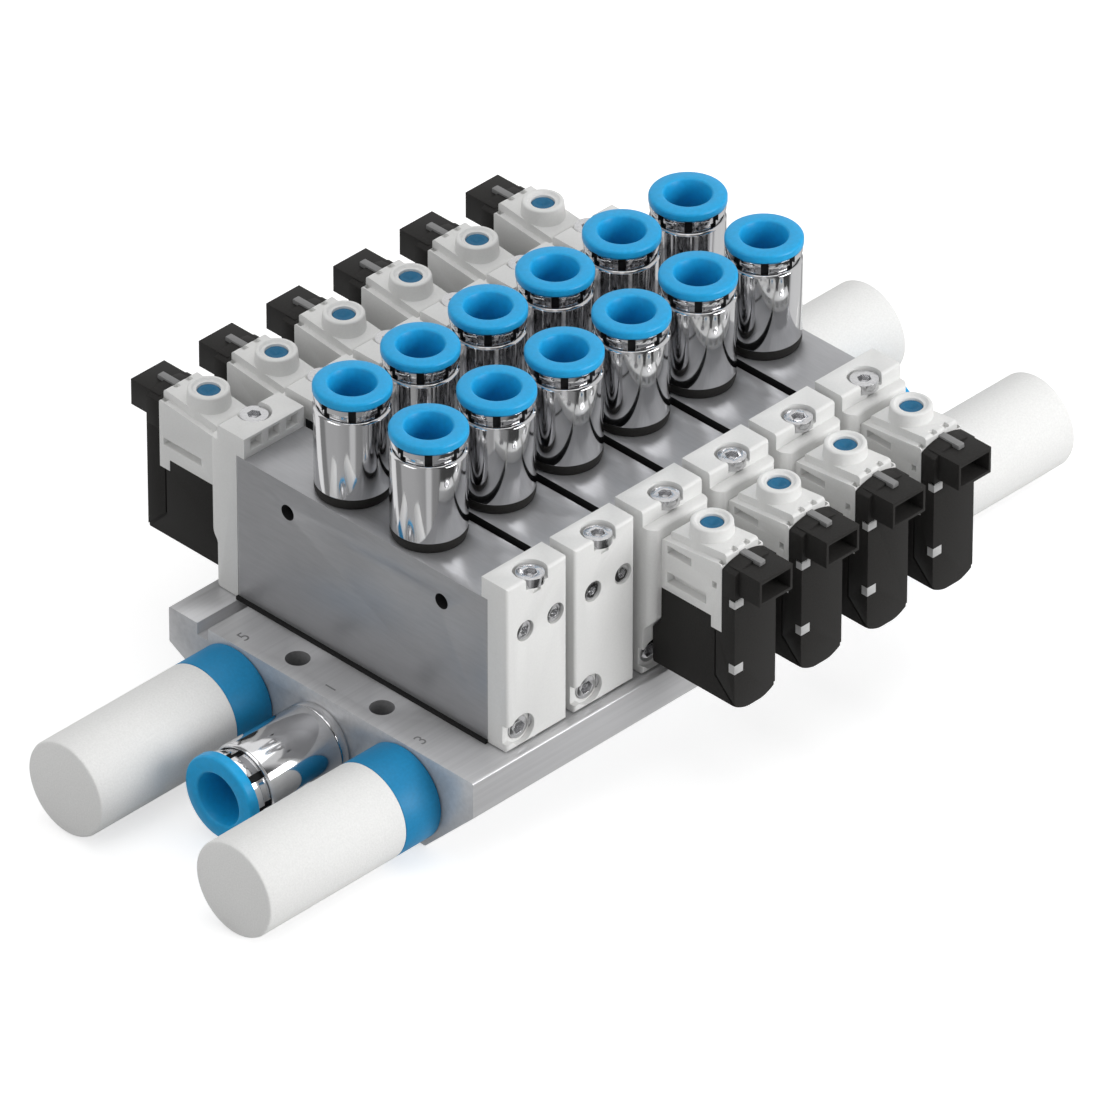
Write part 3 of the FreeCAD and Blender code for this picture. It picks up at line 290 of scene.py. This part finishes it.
# Faces chosen by a test get a second, darker finish: painted shade in holes, gaps and hidden skirts
def shadeFaces(piece, finishName, chosen):
    piece.data.materials.append(finish[finishName])
    for face in piece.data.polygons:
        if chosen(face):
            face.material_index = 1


def inSideHole(face):
    z = bodyTop - sideHoles["drop"] * mm
    reach = 1.05 * sideHoles["radius"] * mm
    return any(math.hypot(face.center.y - y * mm, face.center.z - z) < reach
               for y in sideHoles["row"])


def inFootHole(face):
    fromAxis = math.hypot(abs(face.center.x) - footHoles["x"] * mm,
                          abs(face.center.y) - footHoles["y"] * mm)
    return fromAxis < 1.02 * footHoles["radius"] * mm and abs(face.normal.z) < 0.1


def inGap(face):  # the side looks at the next body
    return abs(face.normal.x) > 0.999 and abs(face.center.x + face.normal.x * bodyWidth) < rowEnd


def mergedCopy(node):
    piece = placedCopy(frame["nodes"][node], "finished_" + node, (0, 0, 0))
    bpy.ops.object.mode_set(mode="EDIT")
    bpy.ops.mesh.select_all(action="SELECT")
    bpy.ops.mesh.remove_doubles(threshold=0.000001)
    bpy.ops.mesh.dissolve_limited(angle_limit=math.radians(0.5))
    bpy.ops.object.mode_set(mode="OBJECT")
    return piece


def breakEdges(node, width):
    piece = mergedCopy(node)
    roundEdges(piece, width * mm)
    belongs(piece, "island", slotOf[node], node)
    piece.data.materials[0] = finish[finishOfNode[node]]
    # Painted shade: side holes and the sides facing the next body turn near-black
    if node.startswith("valve_body"):
        shadeFaces(piece, "paintedShadeBlack", lambda face: inSideHole(face) or inGap(face))
    # Painted shade inside the rail's foot holes
    if node == "manifold_rail":
        shadeFaces(piece, "printAndPaintedShade", inFootHole)


for node, width in edgeBreaks.items():
    breakEdges(node, width)
print("edges broken on", len(edgeBreaks), "nodes")


# Coils: the node's block up to its shoulder, and on it a head with the plug's socket and a latch

coilHead = {"half": 6.75, "inner": 69.9, "face": 74.1, "shoulder": 57.7, "top": 66.7, "arch": 15,
            "blockHalf": 5.4, "blockLow": 58.9, "blockTop": 66.0, "mouth": 80.6,
            "hollowHalf": 4.7, "hollowLow": 59.7, "hollowTop": 64.9, "hollowBack": 72.6,
            "shoulderRound": 2.2, "edge": 0.25, "pastRow": 80, "pastTop": 75}
latch = {"half": 1.0, "inner": 68.8, "outer": 76.3, "low": 65.9, "top": 67.2, "edge": 0.25}
coilRows = {"solenoid_coils_14": (math.pi, stations), "solenoid_coils_12": (0, range(3, 7))}


def coilHeadPattern(f):
    head = addBox("coil_head", (-f["half"], -f["face"], f["shoulder"]),
                  (f["half"], -f["inner"], f["top"] + 1))
    bpy.ops.object.select_all(action="DESELECT")
    bpy.ops.mesh.primitive_cylinder_add(
        vertices=180, radius=f["arch"] * mm, depth=30 * mm, rotation=(math.pi / 2, 0, 0),
        location=(0, -f["face"] * mm, (f["top"] - f["arch"]) * mm))
    combine(head, bpy.context.object, "INTERSECT")
    corners = head.data.attributes.new("bevel_weight_edge", "FLOAT", "EDGE")
    for edge in head.data.edges:  # the arch's two ends, along the coil
        ends = [head.data.vertices[v].co for v in edge.vertices]
        corners.data[edge.index].value = float(
            all(abs(abs(end.x) - f["half"] * mm) < 0.00001 and end.z > f["blockLow"] * mm
                for end in ends)
            and abs(ends[0].z - ends[1].z) < 0.0001)
    modifier = head.modifiers.new("corners", "BEVEL")
    modifier.width = f["shoulderRound"] * mm
    modifier.segments = 6
    modifier.limit_method = "WEIGHT"
    onlySelect(head)
    bpy.ops.object.modifier_apply(modifier=modifier.name)
    combine(head, addBox("block", (-f["blockHalf"], -f["mouth"], f["blockLow"]),
                         (f["blockHalf"], -f["inner"] - 1, f["blockTop"])), "UNION")
    combine(head, addBox("hollow", (-f["hollowHalf"], -f["mouth"] - 1, f["hollowLow"]),
                         (f["hollowHalf"], -f["hollowBack"], f["hollowTop"])), "DIFFERENCE")
    return head


headPattern = coilHeadPattern(coilHead)
latchPattern = addBox("latch", (-latch["half"], -latch["outer"], latch["low"]),
                      (latch["half"], -latch["inner"], latch["top"]))
roundEdges(latchPattern, latch["edge"] * mm)
for node, (turn, numbers) in coilRows.items():
    coils = mergedCopy(node)
    side = -math.cos(turn)
    reach = sorted((side * (coilHead["inner"] - 0.05), side * (coilHead["mouth"] + 2)))
    combine(coils, addBox("off", (-coilHead["pastRow"], reach[0], coilHead["shoulder"]),
                          (coilHead["pastRow"], reach[1], coilHead["pastTop"])), "DIFFERENCE")
    for n in numbers:
        place = (middleOf(f"valve_body_{n}").x, 0, 0)
        combine(coils, placedCopy(headPattern, "head", place, (0, 0, turn)), "UNION")
        bar = placedCopy(latchPattern, f"latch_{node[-2:]}_{n}", place, (0, 0, turn))
        belongs(bar, "island", "grey_plastic", "latch_bars")
    roundEdges(coils, coilHead["edge"] * mm)
    belongs(coils, "island", slotOf[node], node)
bpy.data.objects.remove(headPattern)
bpy.data.objects.remove(latchPattern)
print("coil heads moulded")


# Turned pieces: a circle drawn up ring by ring through (radius, height) in mm

def turnedPiece(name, section, corners=80, edge=0.12, capped=False):
    bpy.ops.object.select_all(action="DESELECT")
    radius, height = section[0]
    bpy.ops.mesh.primitive_circle_add(vertices=corners, radius=radius * mm,
                                      location=(0, 0, height * mm),
                                      fill_type="NGON" if capped else "NOTHING")
    piece = bpy.context.object
    piece.name = name
    bpy.ops.object.transform_apply(location=True, rotation=True, scale=True)
    bpy.ops.object.mode_set(mode="EDIT")
    bpy.ops.mesh.select_all(action="SELECT")
    for here in section[1:] + ([] if capped else section[:1]):
        bpy.ops.mesh.extrude_edges_move(
            TRANSFORM_OT_translate={"value": (0, 0, (here[1] - height) * mm)})
        bpy.ops.transform.resize(value=(here[0] / radius, here[0] / radius, 1),
                                 center_override=(0, 0, here[1] * mm))
        radius, height = here
    if capped:
        bpy.ops.mesh.edge_face_add()
    bpy.ops.mesh.select_all(action="SELECT")
    bpy.ops.mesh.remove_doubles(threshold=0.000002)
    bpy.ops.mesh.normals_make_consistent(inside=False)
    bpy.ops.object.mode_set(mode="OBJECT")
    roundEdges(piece, edge * mm, angle=25)
    return piece


# Push-in fittings, standing on the face that they are screwed into

workFitting = {"tube": 10, "barrel": 18.2, "neck": 16.6, "ring": 18.6, "funnel": 11.4,
               "base": 2.75, "height": 21.1, "gap": 1.7, "lip": 1.8, "ringHeight": 2.4,
               "thread": 9.7, "threadLength": 8, "passage": 6}
supplyFitting = {"tube": 12, "barrel": 20.5, "neck": 18.8, "ring": 22.0, "funnel": 13.6,
                 "base": 3.0, "height": 22.0, "gap": 2.6, "lip": 2.2, "ringHeight": 3.2,
                 "thread": 16.5, "threadLength": 11, "passage": 9}
fittingSlots = {"barrel": "nickel_brass", "stub": "nickel_brass", "sleeve": "nickel_brass",
                "collar": "release_ring_blue"}
sleeveNotches = {"count": 8, "width": 1.8}


def fittingSections(f):
    barrel, neck, ring, funnel = (f[key] / 2 for key in ("barrel", "neck", "ring", "funnel"))
    socket = f["tube"] / 2 + 0.1
    thread = f["thread"] / 2
    flange = max(thread, socket) + 0.9
    skirt = neck - 0.9
    top = f["base"] + f["height"]
    lipBottom = top + f["gap"]
    collarBottom = lipBottom + f["lip"]
    collarTop = collarBottom + f["ringHeight"]
    return {  # (radius, height) in mm
        "barrel": [(socket, f["base"]), (socket, top - 9), (neck + 0.05, top - 6),
                   (neck + 0.05, top), (barrel - 0.5, top), (barrel, top - 0.5),
                   (barrel, f["base"])],
        "stub": [(f["passage"] / 2, -f["threadLength"]), (thread - 0.6, -f["threadLength"]),
                 (thread, 0.6 - f["threadLength"]), (thread, f["base"] - 0.8),
                 (flange, f["base"] - 0.8), (flange, f["base"]), (f["passage"] / 2, f["base"])],
        "base_ring": [(flange + 0.05, 0), (barrel - 0.4, 0), (barrel, f["base"] * 0.5),
                      (barrel, f["base"] - 0.1), (flange + 0.05, f["base"] - 0.1)],
        "sleeve": [(skirt, top - 3.9), (neck, top - 3.9), (neck, lipBottom),
                   (barrel - 0.3, lipBottom), (barrel, lipBottom + 0.3),
                   (barrel, collarBottom), (skirt, collarBottom)],
        "collar": [(socket + 0.02, top - 5.9), (skirt - 0.02, top - 5.9),
                   (skirt - 0.02, collarBottom + 0.02), (ring - 0.4, collarBottom + 0.02),
                   (ring, collarBottom + 0.4), (ring, collarTop - 0.6),
                   (ring - 0.25, collarTop - 0.2), (ring - 0.7, collarTop),
                   (funnel + 0.35, collarTop), (funnel, collarTop - 0.25),
                   (socket + 0.02, collarTop - 2.2)],
    }


def cutNotches(sleeve, f):
    low = f["base"] + f["height"]
    high = low + f["gap"] + f["lip"]
    half = sleeveNotches["width"] / 2
    for n in range(sleeveNotches["count"] // 2):
        notch = addBox("notch", (-f["barrel"], -half, low), (f["barrel"], half, high + 0.1))
        notch.rotation_euler.z = 2 * math.pi * n / sleeveNotches["count"]
        bpy.ops.object.transform_apply(location=True, rotation=True, scale=True)
        combine(sleeve, notch, "DIFFERENCE")


def addFittings(facts, places):
    patterns = {kind: turnedPiece(kind, section)
                for kind, section in fittingSections(facts).items()}
    cutNotches(patterns["sleeve"], facts)
    skirt = {face.index for face in patterns["collar"].data.polygons
             if face.center.z < (facts["base"] + facts["height"] + facts["gap"] + facts["lip"]) * mm
             and face.center.xy.length > (facts["neck"] / 2 - 1) * mm}
    for tag, body, stands, baseRings, turn, location in places:
        for kind, pattern in patterns.items():
            moving = kind in ("sleeve", "collar")
            node = body if moving else baseRings if kind == "base_ring" else stands
            piece = placedCopy(pattern, f"{kind}_{tag}", location, turn)
            belongs(piece, body if moving else "island", fittingSlots.get(kind, slotOf[node]), node)
            if kind == "collar":
                # Painted shade on the collar's skirt, hidden in the sleeve
                shadeFaces(piece, "paintedShadeBlack", lambda face: face.index in skirt)
    for pattern in patterns.values():
        bpy.data.objects.remove(pattern)


workPlaces = []
for port in ("port2", "port4"):
    for n in stations:
        ring = f"release_ring_{port}_{n}"
        middle = middleOf(ring)
        workPlaces.append((f"{port}_{n}", ring, "push_in_fittings", "fitting_base_rings",
                           (0, 0, 0), (middle.x, middle.y, bodyTop)))
addFittings(workFitting, workPlaces)
addFittings(supplyFitting, [
    ("supply_" + tag, "supply_release_ring_" + tag, "supply_fittings", "supply_fittings",
     (0, side * math.pi / 2, 0), (side * railEnd, 0, galleryZ))
    for tag, side in (("near", -1), ("far", 1))])
print("push-in fittings turned")


# Silencers: a blue collar and a porous body, closed at its outer end

silencer = {"outer": 12.3, "collar": 11.5, "body": 43.6, "bore": 7.5, "wall": 5.0, "edge": 0.8,
            "stub": 5.5, "row": 27.7}
silencerEnd = silencer["collar"] + silencer["body"]
collarSection = [
    (silencer["stub"], 0), (silencer["outer"] - 0.5, 0), (silencer["outer"], 0.5),
    (silencer["outer"], silencer["collar"]), (silencer["stub"], silencer["collar"])]
bodySection = [
    (silencer["bore"], silencerEnd - silencer["wall"]), (silencer["bore"], silencer["collar"]),
    (silencer["outer"] - 0.2, silencer["collar"]), (silencer["outer"], silencer["collar"] + 0.3),
    (silencer["outer"], silencerEnd - silencer["edge"]),
    (silencer["outer"] - 0.3 * silencer["edge"], silencerEnd - 0.3 * silencer["edge"]),
    (silencer["outer"] - silencer["edge"], silencerEnd)]
silencerPatterns = {
    "collar": (turnedPiece("collar", collarSection), "blue_plastic", "silencer_collars"),
    "body": (turnedPiece("body", bodySection, capped=True), "porous_plastic",
             "silencer_bodies")}
for tag, side in (("near", -1), ("far", 1)):
    for row, y in (("front", -silencer["row"]), ("back", silencer["row"])):
        for kind, (pattern, slotName, node) in silencerPatterns.items():
            piece = placedCopy(pattern, f"silencer_{kind}_{row}_{tag}",
                               (side * railEnd, y * mm, galleryZ), (0, side * math.pi / 2, 0))
            belongs(piece, "island", slotName, node)
for pattern, slotName, node in silencerPatterns.values():
    bpy.data.objects.remove(pattern)
print("silencers turned")


# Port numbers, engraved beside the rail's connections at both ends

portNumbers = {"height": 3.4, "inset": 3.7, "depth": 0.02,
               "places": (("5", 28.8), ("1", 0.0), ("3", -29.4))}


def addPortNumbers(facts):
    for tag, side in (("near", -1), ("far", 1)):
        for digit, y in facts["places"]:
            bpy.ops.object.select_all(action="DESELECT")
            bpy.ops.object.text_add(location=(0, 0, 0))
            text = bpy.context.object
            text.data.body = digit
            text.data.size = facts["height"] * mm * 1.4
            text.data.extrude = facts["depth"] * mm
            text.data.align_x = "CENTER"
            text.data.align_y = "CENTER"
            bpy.ops.object.convert(target="MESH")
            number = bpy.context.object
            number.name = number.data.name = f"port_number_{digit}_{tag}"
            number.location = (side * (railEnd - facts["inset"] * mm), y * mm, railBox[1].z)
            bpy.ops.object.transform_apply(location=True, rotation=True, scale=True)
            number.data.materials.clear()
            number.data.materials.append(finish["printAndPaintedShade"])
            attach(number, "island")


addPortNumbers(portNumbers)
print("port numbers cut")


# Floor, studio and lamps

studio = {
    "floor": 0.62, "floorGlow": 0.62, "around": 0.55,
    "bands": ((0.0, 0.8), (0.095, 0.6), (0.11, 1.1), (0.14, 1.1), (0.155, 0.5), (0.2, 0.45),
              (0.22, 0.12), (0.335, 0.1), (0.36, 1.3), (0.5, 1.3), (0.53, 0.5), (0.57, 1.7),
              (0.68, 1.7), (0.72, 0.3), (0.75, 1.6), (0.825, 1.6), (0.835, 0.42), (0.885, 0.42),
              (0.9, 0.8), (1.0, 0.8)),
    "lamps": {
        "overhead": {"place": (0.1, -0.1, 1.4), "size": 1.2, "power": 5.3},
        "right": {"place": (0.5, -1.5, 0.55), "size": 0.9, "power": 18.5},
        "left": {"place": (-1.4, 0.3, 0.8), "size": 0.9, "power": 3.5},
    },
}


def addFloor():
    bpy.ops.object.select_all(action="DESELECT")
    bpy.ops.mesh.primitive_plane_add(size=12, location=(0, 0, -0.0002))
    floor = bpy.context.object
    floor.name = "floor"
    material = bpy.data.materials.new("paleFloor")
    material.use_nodes = True
    nodes, links = material.node_tree.nodes, material.node_tree.links
    shader = nodes["Principled BSDF"]
    shader.inputs["Base Color"].default_value = (*[studio["floor"]] * 3, 1)
    shader.inputs["Roughness"].default_value = 0.9
    shader.inputs["Specular IOR Level"].default_value = 0
    shader.inputs["Emission Color"].default_value = (1, 1, 1, 1)
    path = nodes.new("ShaderNodeLightPath")
    glow = nodes.new("ShaderNodeMath")
    glow.operation = "MULTIPLY"
    glow.inputs[1].default_value = studio["floorGlow"]
    links.new(path.outputs["Is Camera Ray"], glow.inputs[0])
    links.new(glow.outputs[0], shader.inputs["Emission Strength"])
    floor.data.materials.append(material)
    floor.visible_glossy = False  # bright metal shows the studio's bands down to the foot


def addStudio():
    world = bpy.data.worlds.new("studio")
    bpy.context.scene.world = world
    world.use_nodes = True
    nodes, links = world.node_tree.nodes, world.node_tree.links
    backdrop = nodes["Background"]
    backdrop.inputs["Color"].default_value = (1, 1, 1, 1)
    around = nodes.new("ShaderNodeBackground")
    around.inputs["Strength"].default_value = studio["around"]
    place = nodes.new("ShaderNodeTexCoord")
    fan = nodes.new("ShaderNodeTexGradient")
    fan.gradient_type = "RADIAL"
    bands = nodes.new("ShaderNodeValToRGB")
    stops = bands.color_ramp.elements
    while len(stops) < len(studio["bands"]):
        stops.new(0.5)
    for stop, (position, level) in zip(stops, studio["bands"]):
        stop.position = position
        stop.color = (level, level, level, 1)
    links.new(place.outputs["Generated"], fan.inputs["Vector"])
    links.new(fan.outputs["Fac"], bands.inputs["Fac"])
    links.new(bands.outputs["Color"], around.inputs["Color"])
    path = nodes.new("ShaderNodeLightPath")
    mix = nodes.new("ShaderNodeMixShader")
    links.new(path.outputs["Is Camera Ray"], mix.inputs["Fac"])
    links.new(around.outputs[0], mix.inputs[1])
    links.new(backdrop.outputs[0], mix.inputs[2])
    links.new(mix.outputs[0], nodes["World Output"].inputs["Surface"])


def addLamps():
    for name, facts in studio["lamps"].items():
        bpy.ops.object.select_all(action="DESELECT")
        bpy.ops.object.light_add(type="AREA", location=facts["place"])
        lamp = bpy.context.object
        lamp.name = name
        lamp.data.size = facts["size"]
        lamp.data.energy = facts["power"]
        lamp.rotation_euler = Vector(facts["place"]).to_track_quat("Z", "Y").to_euler()


addFloor()
addStudio()
addLamps()
print("stage set")
